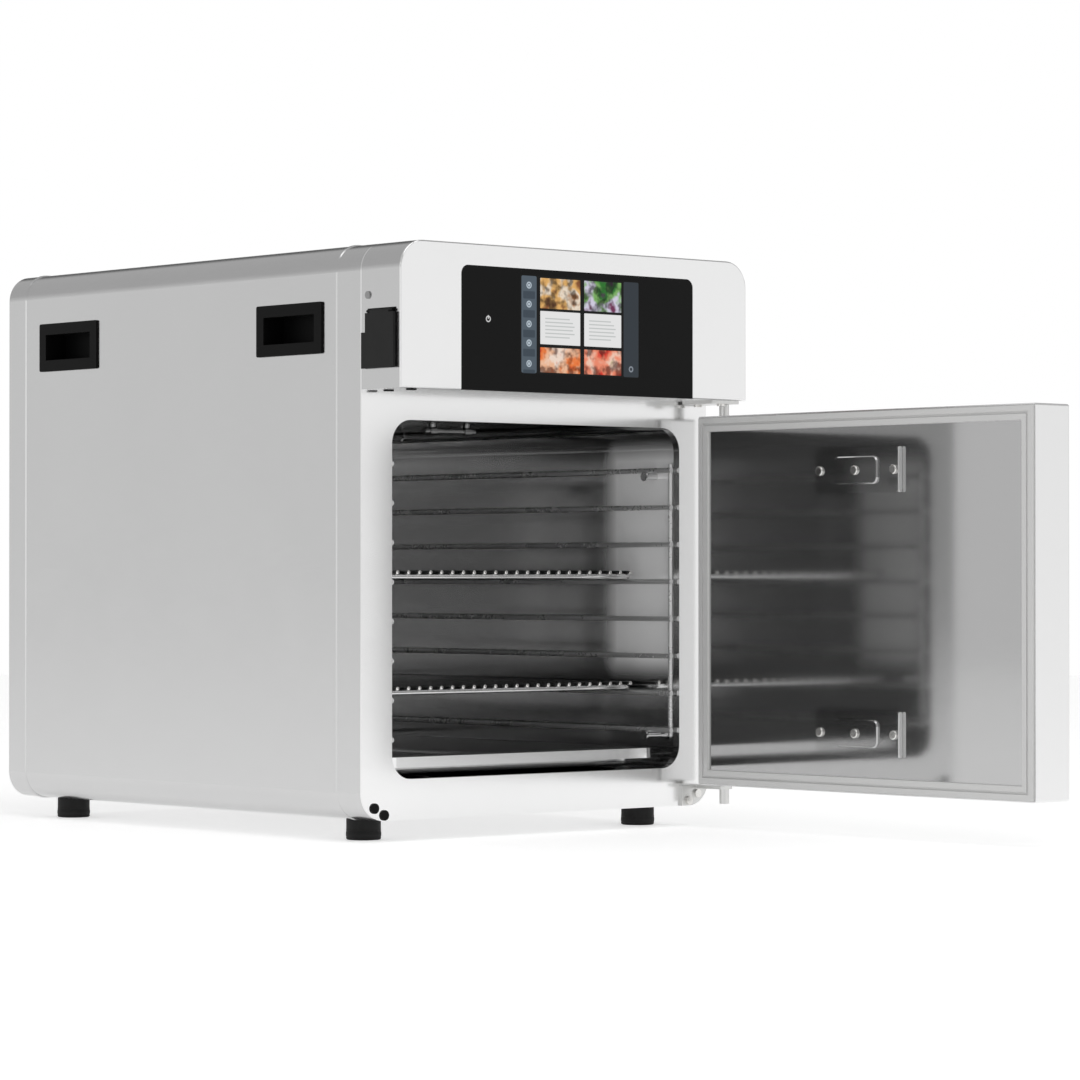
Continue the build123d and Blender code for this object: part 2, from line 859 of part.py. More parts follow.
def head_screws():
    for side in (-1, 1):
        x = side * half_width
        y = front_y - head_screw_inset
        z = casing_top - head_screw_drop
        shank = rod((x - side * 8, y, z), (x, y, z), screw_diameter - 0.4)
        yield shank + rod((x, y, z), (x + side * 1.2, y, z), 7)


# ---- Service socket and its flap


def usb_plate_block(x0, x1, shrink):
    # The flap's outline: its upper rear corner is stepped in.
    y0 = front_y - usb_front + shrink
    y1 = front_y - usb_rear - shrink
    plate = block(x0, x1, y0, y1, usb_bottom + shrink, usb_top - shrink)
    step = block(x0 - 1, x1 + 1, y1 - usb_notch, y1 + 1, usb_notch_z, usb_top + 1)
    return plate - step


def flap_lug_spans():
    y0 = front_y - usb_front + 2
    y1 = front_y - usb_rear - usb_notch - 2
    return [(y0, y0 + 4), (y1 - 4, y1)]


def usb_port():
    # A base plate outside the head, the socket shell through it and the flap's two lugs.
    x = -half_width
    y, z = usb_spot()
    port = usb_plate_block(x - usb_base, x, 0.4)
    port += block(x - usb_base, x + 18, y - 8, y + 8, z - 6, z + 6)
    for y0, y1 in flap_lug_spans():
        axis = (flap_axis_x, y0, flap_axis_z)
        port += rod(axis, (flap_axis_x, y1, flap_axis_z), usb_cover)
        port += block(flap_axis_x, x - usb_base / 2, y0, y1, flap_axis_z - 1.3, flap_axis_z + 1.3)
    first = flap_lug_spans()[0][1]
    second = flap_lug_spans()[1][0]
    port += rod((flap_axis_x, first, flap_axis_z), (flap_axis_x, second, flap_axis_z), 1.2)
    port -= block(x - 3, x + 14, y - 6.4, y + 6.4, z - 2.7, z + 2.7)
    return port + block(x + 4, x + 15, y - 5.6, y + 5.6, z - 2.2, z - 0.4)


def usb_flap():
    # Black rubber flap that hangs from the pin and covers the socket.
    x1 = -half_width - usb_base - clearance
    x0 = x1 - usb_cover
    flap = usb_plate_block(x0, x1, 0)
    knuckle = usb_cover / 2
    for y0, y1 in flap_lug_spans():
        grow = clearance
        top = flap_axis_z - knuckle - grow
        flap -= block(x0 - 1, x1 + 1, y0 - grow, y1 + grow, top, usb_top + 1)
    ends = flap_lug_spans()
    front = front_y - usb_front - 1
    rear = front_y - usb_rear + 1
    flap -= block(x0 - 1, x1 + 1, front, ends[0][0], flap_axis_z - knuckle - clearance, usb_top + 1)
    flap -= block(x0 - 1, x1 + 1, ends[1][1], rear, flap_axis_z - knuckle - clearance, usb_top + 1)
    y0 = ends[0][1] + clearance
    y1 = ends[1][0] - clearance
    flap -= block(x0 - 1, x1 + 1, y0 - 1, y1 + 1, flap_axis_z, usb_top + 1)
    flap += rod((flap_axis_x, y0, flap_axis_z), (flap_axis_x, y1, flap_axis_z), usb_cover)
    bore = 1.2 + 2 * journal_clearance
    return flap - rod((flap_axis_x, front, flap_axis_z), (flap_axis_x, rear, flap_axis_z), bore)


# ---- Hinges


def top_bracket_spots():
    return [(half_width - 22.0, front_y - 12), (half_width - 22.0, front_y - 44)]


def bottom_hinge_bracket():
    # A flange on the front frame whose arm reaches forward under the door.
    x1 = half_width
    y0 = front_y - bracket_plate
    flange = block(x1 - bracket_width, x1, y0, front_y, casing_bottom, arm_top)
    flange = flange & body_prism(0, y0, front_y)
    arm_end = hinge_y - collar_radius - 3
    arm_x0 = hinge_x - collar_radius - 5
    arm = block(arm_x0, x1 - 0.5, arm_end, y0 + 0.5, arm_bottom, arm_top)
    arm = fillet(arm.edges().filter_by(Axis.Z).group_by(Axis.Y)[0], 4)
    bracket = flange + arm
    for x, z in bottom_bracket_spots():
        bracket -= rod((x, y0 - 1, z), (x, front_y + 1, z), screw_diameter + 0.4)
    return bracket - rod((hinge_x, hinge_y, arm_bottom - 1), (hinge_x, hinge_y, arm_top + 1), neck)


def bottom_hinge_pin():
    # A shoulder pin through the arm: collar under the door, journal inside the bushing.
    x = hinge_x
    y = hinge_y
    pin = rod((x, y, arm_top), (x, y, lower_shoulder_z), 2 * collar_radius)
    pin += rod((x, y, arm_top), (x, y, door_bottom + bushing_length - 2), 2 * journal_radius)
    pin += rod((x, y, arm_bottom), (x, y, arm_top), neck)
    return pin + rod((x, y, door_bottom - bottom_pin_drop), (x, y, arm_bottom), 2 * collar_radius)


def top_hinge_bracket():
    x1 = half_width - 1
    x0 = x1 - bracket_width
    y0 = hinge_y - collar_radius - 12
    plate = block(x0, x1, y0, front_y - 3, head_bottom - bracket_plate, head_bottom)
    plate = fillet(plate.edges().filter_by(Axis.Z), 3)
    for x, y in top_bracket_spots():
        plate -= rod((x, y, head_bottom - 5), (x, y, head_bottom + 1), screw_diameter + 0.4)
    return plate - rod((hinge_x, hinge_y, head_bottom - 5), (hinge_x, hinge_y, head_bottom + 1), neck)


def top_hinge_pin():
    x = hinge_x
    y = hinge_y
    under = head_bottom - bracket_plate
    pin = rod((x, y, upper_shoulder_z), (x, y, under), 2 * collar_radius)
    pin += rod((x, y, under), (x, y, head_bottom), neck)
    return pin + rod((x, y, door_top - bushing_length + 2), (x, y, under), 2 * journal_radius)


def bracket_screws():
    back = front_y + frame_sheet
    front = front_y - bracket_plate
    for x, z in bottom_bracket_spots():
        shank = rod((x, front, z), (x, back + 7, z), screw_diameter)
        yield shank + rod((x, front - 2.4, z), (x, front, z), 8)
    under = head_bottom - bracket_plate
    for x, y in top_bracket_spots():
        shank = rod((x, y, under), (x, y, head_bottom + 8), screw_diameter)
        yield shank + rod((x, y, under - 2.2), (x, y, under), 8)


def hole_plugs():
    # The same holes on the left, for a door hung the other way round, are plugged.
    back = front_y + frame_sheet
    bore = screw_diameter + 1.0
    for x, z in bottom_bracket_spots():
        shank = rod((-x, front_y, z), (-x, back + 3, z), bore)
        yield shank + rod((-x, front_y - 1.4, z), (-x, front_y, z), 9.6)
    for x, y in top_bracket_spots():
        shank = rod((-x, y, head_bottom), (-x, y, head_bottom + 4), bore)
        yield shank + rod((-x, y, head_bottom - 1.4), (-x, y, head_bottom), 9.6)


# ---- Door, modelled closed


def door_block(inset, y0, y1):
    return block(
        inset - door_half,
        door_half - inset,
        y0,
        y1,
        door_bottom + inset,
        door_top - inset,
    )


def vent_x(along):
    # X of a place given by its distance from the hinge axis.
    return hinge_x - along


def vent_levels():
    return (door_middle + vent_offset_z, door_middle - vent_offset_z)


def vent_duct_block(grow, y0, y1, z):
    x = vent_x(vent_centre) + vent_hole_shift
    half = vent_hole_length / 2 + grow
    tall = vent_hole_height / 2 + grow
    return block(x - half, x + half, y0, y1, z - tall, z + tall)


def vent_screw_places():
    for z in vent_levels():
        for step in (-1, 0, 1):
            yield vent_x(vent_centre + step * vent_screw_pitch), z


def liner_y():
    return door_inner_y - 0.2


def door_shell():
    radius = door_edge_radius
    shell = prism(door_width, door_height, radius, door_outer_y, door_inner_y, 0, door_middle)
    shell = fillet(shell.edges().group_by(Axis.Y)[0], radius * 0.9)
    shell -= door_block(door_sheet, door_outer_y + door_sheet, door_inner_y + 1)
    for z in vent_levels():
        shell -= vent_duct_block(0, door_outer_y - 1, door_outer_y + 3, z)
    for z0 in (door_bottom - 1, door_top - 3):
        shell -= rod((hinge_x, hinge_y, z0), (hinge_x, hinge_y, z0 + 4), 2 * bushing_radius + 0.2)
    for z in handle_post_levels():
        x = handle_inset - door_half
        shell -= rod((x, door_outer_y - 1, z), (x, door_outer_y + 3, z), screw_diameter + 1.4)
    return shell


def door_liner():
    y1 = liner_y()
    y0 = y1 - liner_sheet
    plate = door_block(door_sheet + 0.1, y0, y1)
    for z in vent_levels():
        plate -= vent_duct_block(0, y0 - 1, y1 + 1, z)
    for x, z in vent_screw_places():
        plate -= rod((x, y0 - 1, z), (x, y1 + 1, z), screw_diameter + 0.2)
    return plate


def door_ducts():
    # Square sleeves that carry each vent through the insulation.
    for z in vent_levels():
        y0 = door_outer_y + door_sheet
        y1 = liner_y() - liner_sheet
        yield vent_duct_block(duct_wall, y0, y1, z) - vent_duct_block(0, y0 - 1, y1 + 1, z)


def door_insulation():
    y0 = door_outer_y + door_sheet + clearance
    y1 = liner_y() - liner_sheet - clearance
    fill = door_block(door_sheet + clearance, y0, y1)
    for z in vent_levels():
        fill -= vent_duct_block(duct_wall + clearance, y0 - 1, y1 + 1, z)
    reach = bushing_length + 4
    side = bushing_radius + 3
    for z0 in (door_bottom, door_top - reach):
        fill -= block(hinge_x - side, door_half, hinge_y - side, hinge_y + side, z0, z0 + reach)
    for x, z in vent_screw_places():
        fill -= rod((x, y1 - 12, z), (x, y1 + 1, z), screw_diameter + 1)
    for z in handle_post_levels():
        x = handle_inset - door_half
        fill -= rod((x, y0 - 1, z), (x, y0 + 12, z), 12)
    for z0, z1 in magnet_spans():
        x = magnet_x()
        fill -= block(x - 8, x + 8, y1 - 10, y1 + 1, z0 - 1, z1 + 1)
    return fill


def door_gasket():
    # A double-lipped seal: two rounded ridges on a flat base, all round the door.
    base_y = liner_y()
    inset = door_sheet + 0.2
    far = inset + gasket_width
    thin = gasket_proud * 0.45
    base = door_block(inset, base_y, base_y + thin) - door_block(far, base_y - 1, base_y + 5)
    top = base_y + gasket_proud
    for start in (inset + 0.6, far - 5.6):
        lip = door_block(start, base_y, top) - door_block(start + 5.0, base_y - 1, top + 1)
        base += lip
    return base


def magnet_x():
    return door_sheet + magnet_inset - door_half


def magnet_spans():
    for middle in (door_middle - magnet_offset, door_middle + magnet_offset):
        yield middle - magnet_length / 2, middle + magnet_length / 2


def door_magnets():
    y1 = liner_y() - liner_sheet
    x = magnet_x()
    for z0, z1 in magnet_spans():
        yield block(x - 6, x + 6, y1 - 8, y1, z0, z1)


def door_bushings():
    x = hinge_x
    y = hinge_y
    bore = 2 * (journal_radius + journal_clearance)
    for face, way in ((door_bottom, 1), (door_top, -1)):
        body = rod((x, y, face), (x, y, face + way * bushing_length), 2 * bushing_radius)
        body += rod((x, y, face - way * bushing_flange), (x, y, face), 2 * bushing_radius + 2)
        ends = (face - way * 2, face + way * (bushing_length + 1))
        yield body - rod((x, y, ends[0]), (x, y, ends[1]), bore)


def handle_post_levels():
    reach = handle_length / 2 - handle_post_inset
    return (door_middle - reach, door_middle + reach)


def handle_bar():
    x = handle_inset - door_half
    y = door_outer_y - handle_standoff - handle_diameter / 2
    half = handle_length / 2
    bar = rod((x, y, door_middle - half), (x, y, door_middle + half), handle_diameter)
    return fillet(bar.edges().filter_by(GeomType.CIRCLE), 3)


def handle_posts():
    # Round posts cut to the bar's own curve, each held by a stud and nut inside the door.
    inside = door_outer_y + door_sheet
    x = handle_inset - door_half
    y = door_outer_y - handle_standoff - handle_diameter / 2
    for z in handle_post_levels():
        post = rod((x, door_outer_y, z), (x, y, z), handle_post)
        post -= rod((x, y, z - 20), (x, y, z + 20), handle_diameter)
        post += rod((x, door_outer_y - 1, z), (x, inside + 5, z), screw_diameter)
        yield post + rod((x, inside, z), (x, inside + 3, z), 9)


def vent_covers():
    # A screwed-on channel with a raised hood over the slide.
    foot_y0 = liner_y()
    under = foot_y0 + vent_channel
    over = under + vent_cover_sheet
    half = vent_cover_length / 2
    tall = vent_cover_height / 2
    slot = vent_slide_height / 2 + vent_slide_play
    x = vent_x(vent_centre)
    for z in vent_levels():
        cover = block(x - half, x + half, foot_y0, over, z - tall, z + tall)
        cover = fillet(cover.edges().filter_by(Axis.Y), 3)
        cover -= block(x - half - 1, x + half + 1, foot_y0 - 1, under, z - slot, z + slot)
        hood = prism(vent_hood_length, vent_hood_height, 6, over - 0.2, over + vent_hood_rise, x, z)
        cover += chamfer(hood.edges().group_by(Axis.Y)[-1], 1.2)
        inner = vent_hood_height / 2 - 4
        end = x + vent_hood_length / 2
        cover -= block(x + 6, end - 3, under - 1, over + vent_hood_rise - 1, z - inner, z + inner)
        cover -= block(x + 6, end + 1, over, over + vent_hood_rise - 1, z - inner, z + inner)
        for step in (-1, 0, 1):
            sx = x + step * vent_screw_pitch
            cover -= rod((sx, foot_y0 - 1, z), (sx, over + 5, z), screw_diameter + 0.3)
        yield cover


def vent_screws():
    base = liner_y() - liner_sheet
    over = liner_y() + vent_channel + vent_cover_sheet
    for index, (x, z) in enumerate(vent_screw_places()):
        seat = over + (vent_hood_rise if index % 3 == 1 else 0)
        shank = rod((x, base - 6, z), (x, seat, z), screw_diameter)
        yield shank + fillet(rod((x, seat, z), (x, seat + 2.2, z), 9).edges().group_by(Axis.Y)[-1], 1)


def vent_slide(z):
    # A flat damper in the channel, with its finger tab standing up at the free end.
    gap = (vent_channel - vent_slide_sheet) / 2
    y0 = liner_y() + gap
    y1 = y0 + vent_slide_sheet
    tab_x = vent_x(vent_centre) - vent_cover_length / 2 - 2
    start = vent_x(vent_centre) + vent_cover_length / 2 - 14
    tall = vent_slide_height / 2
    slide = block(tab_x, start, y0, y1, z - tall, z + tall)
    up = vent_cover_height / 2
    tab = block(tab_x - 1.5, tab_x, y0, y0 + vent_tab, z - up, z + up)
    slide += fillet(tab.edges().filter_by(Axis.X), 2)
    for step in (-1, 0, 1):
        sx = vent_x(vent_centre) + step * vent_screw_pitch
        end = screw_diameter / 2 + clearance
        low = sx - end
        high = sx + vent_travel + end
        slide -= block(low, high, y0 - 1, y1 + 1, z - end, z + end)
    return slide


def outer_grilles():
    # A small slotted plate over each vent, on the door's outer face.
    for z in vent_levels():
        x = vent_x(vent_centre) + vent_hole_shift
        grille = prism(44, 28, 4, door_outer_y - 1.2, door_outer_y, x, z)
        for row in (-1, 0, 1):
            at = z + row * 4.2
            grille -= prism(24, 2.2, 1.0, door_outer_y - 2, door_outer_y + 1, x, at)
        yield grille


# ---- Writing the pieces


def main():
    os.makedirs("parts", exist_ok=True)
    save("outer_casing", outer_casing())
    for end, name in ((-1, "front"), (1, "rear")):
        save(f"pocket_handle_left_{name}", pocket_handle(end))
        save(f"pocket_handle_right_{name}", mirrored(pocket_handle(end)))
        save(f"foot_left_{name}", foot(-foot_x, end * foot_y))
        save(f"foot_right_{name}", foot(foot_x, end * foot_y))
    corners = [(x, y) for x in (-foot_x, foot_x) for y in (-foot_y, foot_y)]
    save("foot_screws", *[foot_screw(x, y) for x, y in corners])
    save("rear_panel", rear_panel())
    save("rear_panel_screws", *rear_screws())
    save("power_inlet", power_inlet())
    save("front_frame", front_frame())
    save("cavity_liner", cavity_liner())
    save("cavity_insulation", cavity_insulation())
    save("heating_cable", *heating_cable())
    save("side_rack_right", side_rack())
    save("side_rack_left", mirrored(side_rack()))
    studs = list(rack_studs())
    save("rack_studs", *studs, *[mirrored(stud) for stud in studs])
    save("lower_shelf", wire_shelf(shelf_levels[0]))
    save("upper_shelf", wire_shelf(shelf_levels[1]))
    save("drip_pan", drip_pan())
    save("air_sensor", air_sensor())
    save("limit_thermostat", limit_thermostat())
    save("control_deck", control_deck())
    save("power_board", power_board())
    save("terminal_block", terminal_block())
    save("fan_frame", fan_frame())
    save("fan_rotor", fan_rotor())
    save("head_shroud", head_shroud())
    save("head_front_plate", head_front_plate())
    save("head_underside", head_underside())
    save("head_screws", *head_screws())
    save("touch_glass", touch_glass())
    save("glass_carrier", glass_carrier())
    save("display_module", display_module())
    save("control_board", control_board())
    save("usb_port", usb_port())
    save("usb_flap", usb_flap())
    save("bottom_hinge_bracket", bottom_hinge_bracket())
    save("bottom_hinge_pin", bottom_hinge_pin())
    save("top_hinge_bracket", top_hinge_bracket())
    save("top_hinge_pin", top_hinge_pin())
    save("bracket_screws", *bracket_screws())
    save("hole_plugs", *hole_plugs())
    save("door_shell", swung(door_shell()))
    save("door_liner", swung(door_liner()))
    save("door_insulation", swung(door_insulation()))
    save("door_gasket", swung(door_gasket()))
    save("door_ducts", *[swung(duct) for duct in door_ducts()])
    save("door_magnets", *[swung(magnet) for magnet in door_magnets()])
    save("door_bushings", *[swung(bushing) for bushing in door_bushings()])
    save("handle_bar", swung(handle_bar()))
    save("handle_posts", *[swung(post) for post in handle_posts()])
    save("vent_covers", *[swung(cover) for cover in vent_covers()])
    save("vent_screws", *[swung(screw) for screw in vent_screws()])
    save("outer_vent_grilles", *[swung(grille) for grille in outer_grilles()])
    upper, lower = vent_levels()
    save("upper_vent_slide", swung(vent_slide(upper)))
    save("lower_vent_slide", swung(vent_slide(lower)))


main()
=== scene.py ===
import math

import bpy
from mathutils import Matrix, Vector


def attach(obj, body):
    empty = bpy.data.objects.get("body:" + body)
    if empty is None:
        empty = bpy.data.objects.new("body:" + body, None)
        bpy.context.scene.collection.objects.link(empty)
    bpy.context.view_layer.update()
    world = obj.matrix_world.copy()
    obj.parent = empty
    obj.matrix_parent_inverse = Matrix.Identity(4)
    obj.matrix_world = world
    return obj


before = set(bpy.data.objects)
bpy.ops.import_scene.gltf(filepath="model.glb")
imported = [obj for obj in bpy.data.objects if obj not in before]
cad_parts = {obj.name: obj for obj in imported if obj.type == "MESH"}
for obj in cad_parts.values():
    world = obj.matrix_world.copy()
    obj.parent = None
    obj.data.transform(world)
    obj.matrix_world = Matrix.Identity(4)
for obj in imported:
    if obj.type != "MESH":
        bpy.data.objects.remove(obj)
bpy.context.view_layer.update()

print("frame loaded, nodes:", len(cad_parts))


def srgb(*channels):
    # display values to the linear ones that shaders use
    values = channels * 3 if len(channels) == 1 else channels
    return [v / 12.92 if v <= 0.04045 else ((v + 0.055) / 1.055) ** 2.4 for v in values]


class Wire:
    # one socket's value: arithmetic on it adds Math nodes
    def __init__(self, nodes, socket):
        self.nodes, self.socket = nodes, socket

    def math(self, operation, *values, clamp=False):
        settings = {"operation": operation, "use_clamp": clamp}
        return self.nodes.add("ShaderNodeMath", settings, dict(enumerate(values)))

    def __add__(self, other):
        return self.math("ADD", self, other)

    def __radd__(self, other):
        return self.math("ADD", other, self)

    def __sub__(self, other):
        return self.math("SUBTRACT", self, other)

    def __rsub__(self, other):
        return self.math("SUBTRACT", other, self)

    def __mul__(self, other):
        return self.math("MULTIPLY", self, other)

    def __rmul__(self, other):
        return self.math("MULTIPLY", other, self)

    def __pow__(self, other):
        return self.math("POWER", self, other)

    def __abs__(self):
        return self.math("ABSOLUTE", self)

    def clamped(self):
        return self.math("ADD", self, 0.0, clamp=True)

    def over(self, other):
        # divided and held between 0 and 1
        return self.math("DIVIDE", self, other, clamp=True)

    def atLeast(self, other):
        return self.math("MAXIMUM", self, other)


class Nodes:
    # a node tree being built, for a material or the world
    def __init__(self, tree):
        self.tree = tree
        tree.nodes.clear()

    def add(self, kind, settings=None, inputs=None, output=0):
        made = self.tree.nodes.new(kind)
        for key, value in (settings or {}).items():
            if key == "stops":
                ramp = made.color_ramp.elements
                while len(ramp) < len(value):
                    ramp.new(0.5)
                for stop, (place, colour) in zip(ramp, value):
                    stop.position, stop.color = place, (*colour, 1.0)
            else:
                setattr(made, key, value)
        for key, value in (inputs or {}).items():
            if isinstance(value, Wire):
                self.tree.links.new(value.socket, made.inputs[key])
            else:
                made.inputs[key].default_value = value
        return Wire(self, made.outputs[output])

    def place(self, scale=(1, 1, 1), shift=(0, 0, 0)):
        where = self.add("ShaderNodeTexCoord", output="Object")
        return self.add("ShaderNodeMapping", None, {"Vector": where, "Location": shift, "Scale": scale})

    def axes(self, space="Object"):
        where = self.add("ShaderNodeTexCoord", output=space)
        return [self.add("ShaderNodeSeparateXYZ", None, {0: where}, axis) for axis in "XYZ"]

    def noise(self, where, scale, detail, roughness):
        sizes = {"Vector": where, "Scale": scale, "Detail": detail, "Roughness": roughness}
        return self.add("ShaderNodeTexNoise", None, sizes)

    def mix(self, mask, first, second):
        # the RGBA sockets of a Mix node are 6 and 7, and its RGBA output is 2
        both = {0: mask, 6: first, 7: second}
        for key in (6, 7):
            if not isinstance(both[key], Wire):
                both[key] = (*both[key], 1.0)
        return self.add("ShaderNodeMix", {"data_type": "RGBA"}, both, 2)

    def ramp(self, value, *stops, smooth=False):
        made = self.add("ShaderNodeValToRGB", {"stops": stops}, {0: value})
        if smooth:
            made.socket.node.color_ramp.interpolation = "EASE"
        return made

    def spread(self, value, low, high):
        # black below low, white above high
        return self.ramp(value, (low, (0, 0, 0)), (high, (1, 1, 1)))


class Finish(Nodes):
    # one material: constants go on the shader's own sockets, wires change over the surface
    def __init__(self, name, **constants):
        self.material = bpy.data.materials.new(name)
        self.material.use_nodes = True
        super().__init__(self.material.node_tree)
        self.shader = self.tree.nodes.new("ShaderNodeBsdfPrincipled")
        out = self.tree.nodes.new("ShaderNodeOutputMaterial")
        self.tree.links.new(self.shader.outputs[0], out.inputs["Surface"])
        for key, value in constants.items():
            self.shader.inputs[key.replace("_", " ")].default_value = value

    def feed(self, **wires):
        for key, wire in wires.items():
            self.tree.links.new(wire.socket, self.shader.inputs[key.replace("_", " ")])
        return self

    def bump(self, height, distance, strength=1.0):
        settings = {"Height": height, "Distance": distance, "Strength": strength}
        return self.feed(Normal=self.add("ShaderNodeBump", None, settings))


def panel(x, z, box, corner=0.0, soft=0.0002):
    # 1 inside a round-cornered rectangle, box = left, bottom, right, top
    left, bottom, right, top = box
    dx = (abs(x - (left + right) / 2) - ((right - left) / 2 - corner)).atLeast(0.0)
    dz = (abs(z - (bottom + top) / 2) - ((top - bottom) / 2 - corner)).atLeast(0.0)
    return (corner + soft / 2 - (dx * dx + dz * dz) ** 0.5).over(soft)


def ring(x, z, look):
    # 1 on a circular line
    middleX, middleZ = look["spot"]
    away = ((x - middleX) ** 2 + (z - middleZ) ** 2) ** 0.5
    return (look["line"] / 2 + look["soft"] / 2 - abs(away - look["radius"])).over(look["soft"])


# how rolled steel varies: each noise is scale, detail and roughness, lengths are in metres
rolled = {
    "fine": (1.0, 3.0, 0.6), "cloud": (9.0, 3.0, 0.55), "smear": (5.0, 4.0, 0.6), "smearStretch": (3, 3, 7),
    "fineShare": 0.65, "darkBelow": 0.3, "lightAbove": 0.7, "bump": 0.6,
    # soft edges: the first two for the painted light patch, the last two for the painted shade patches, flat
    # and upright
    "litPatchCorner": 0.012, "litPatchFade": 0.022, "flatFade": 0.003, "uprightFade": 0.0006,
}


def brushed(name, tone, roughness, grain, wear=0.05, lines=0.000012, tint=0.02, polish=1.0,
            paintedShadePatch=None, paintedShadeAndLight=None):
    # rolled stainless: fine lines along one axis, cloudy polish and a few soft smears; painted shade and
    # painted light where they are given
    steel = Finish(name, Metallic=polish)
    fine = steel.noise(steel.place(grain), *rolled["fine"])
    cloud = steel.noise(steel.place(), *rolled["cloud"])
    smear = steel.noise(steel.place(rolled["smearStretch"]), *rolled["smear"])
    dark, light = [t * (1 - tint) for t in tone], [min(1.0, t * (1 + tint)) for t in tone]
    x, y, z = steel.axes()
    streaks = fine * rolled["fineShare"] + cloud * (1 - rolled["fineShare"])
    colour = steel.mix(steel.spread(streaks, rolled["darkBelow"], rolled["lightAbove"]), dark, light)
    if paintedShadeAndLight:
        # painted shade: darker bands toward the cavity's ceiling and floor; painted light: a brighter, less
        # metallic patch on the walls beside the door
        paintedShadeBands = (abs(z - paintedShadeAndLight["middle"]) - paintedShadeAndLight["spared"]).over(paintedShadeAndLight["fade"])
        colour = steel.mix(paintedShadeBands, colour, [paintedShadeAndLight["tone"]] * 3)
        # painted light: a near-white, less metallic patch where light falls on the walls beside the door
        paintedLightPatch = panel(y, z, paintedShadeAndLight["paintedLightPatch"], rolled["litPatchCorner"], rolled["litPatchFade"])
        colour = steel.mix(paintedLightPatch, colour, [paintedShadeAndLight["bright"]] * 3)
        steel.feed(Metallic=1.0 - paintedLightPatch * paintedShadeAndLight["haze"])
    if paintedShadePatch:
        # painted shade: a darker patch, on faces seen from above unless it stands upright
        up, fade = (z, "uprightFade") if paintedShadePatch.get("upright") else (y, "flatFade")
        paintedShadeMask = panel(x, up, paintedShadePatch["area"], 0.0, rolled[fade])
        colour = steel.mix(paintedShadeMask, colour, [paintedShadePatch["tone"]] * 3)
    uneven = (cloud - 0.5) * (2 * wear) + (smear - 0.5) * (2 * wear) + (fine - 0.5) * wear
    steel.feed(Base_Color=colour, Roughness=(roughness + uneven).clamped())
    return steel.bump(fine, lines, rolled["bump"])


# how moulded plastic and rubber vary
cast = {
    "pits": (2.0, 0.7), "cloud": (40.0, 3.0, 0.6), "cleanBelow": 0.35, "dustyAbove": 0.75, "paler": 0.2,
    "cloudSway": 0.12, "pitSway": 0.06,
}


def moulded(name, tone, roughness, grain=900.0, depth=0.00003, dust=0.03, **more):
    # moulded plastic or rubber: fine eroded texture, a little paler where it is rubbed
    plastic = Finish(name, **more)
    pits = plastic.noise(plastic.place(), grain, *cast["pits"])
    cloud = plastic.noise(plastic.place(), *cast["cloud"])
    dusty = plastic.spread(cloud, cast["cleanBelow"], cast["dustyAbove"])
    uneven = (cloud - 0.5) * cast["cloudSway"] + (pits - 0.5) * cast["pitSway"]
    plastic.feed(
        Base_Color=plastic.mix(dusty, tone, [t + dust * cast["paler"] for t in tone]),
        Roughness=(roughness + uneven).clamped(),
    )
    return plastic.bump(pits, depth)


def grey(value):
    return (value, value, value)


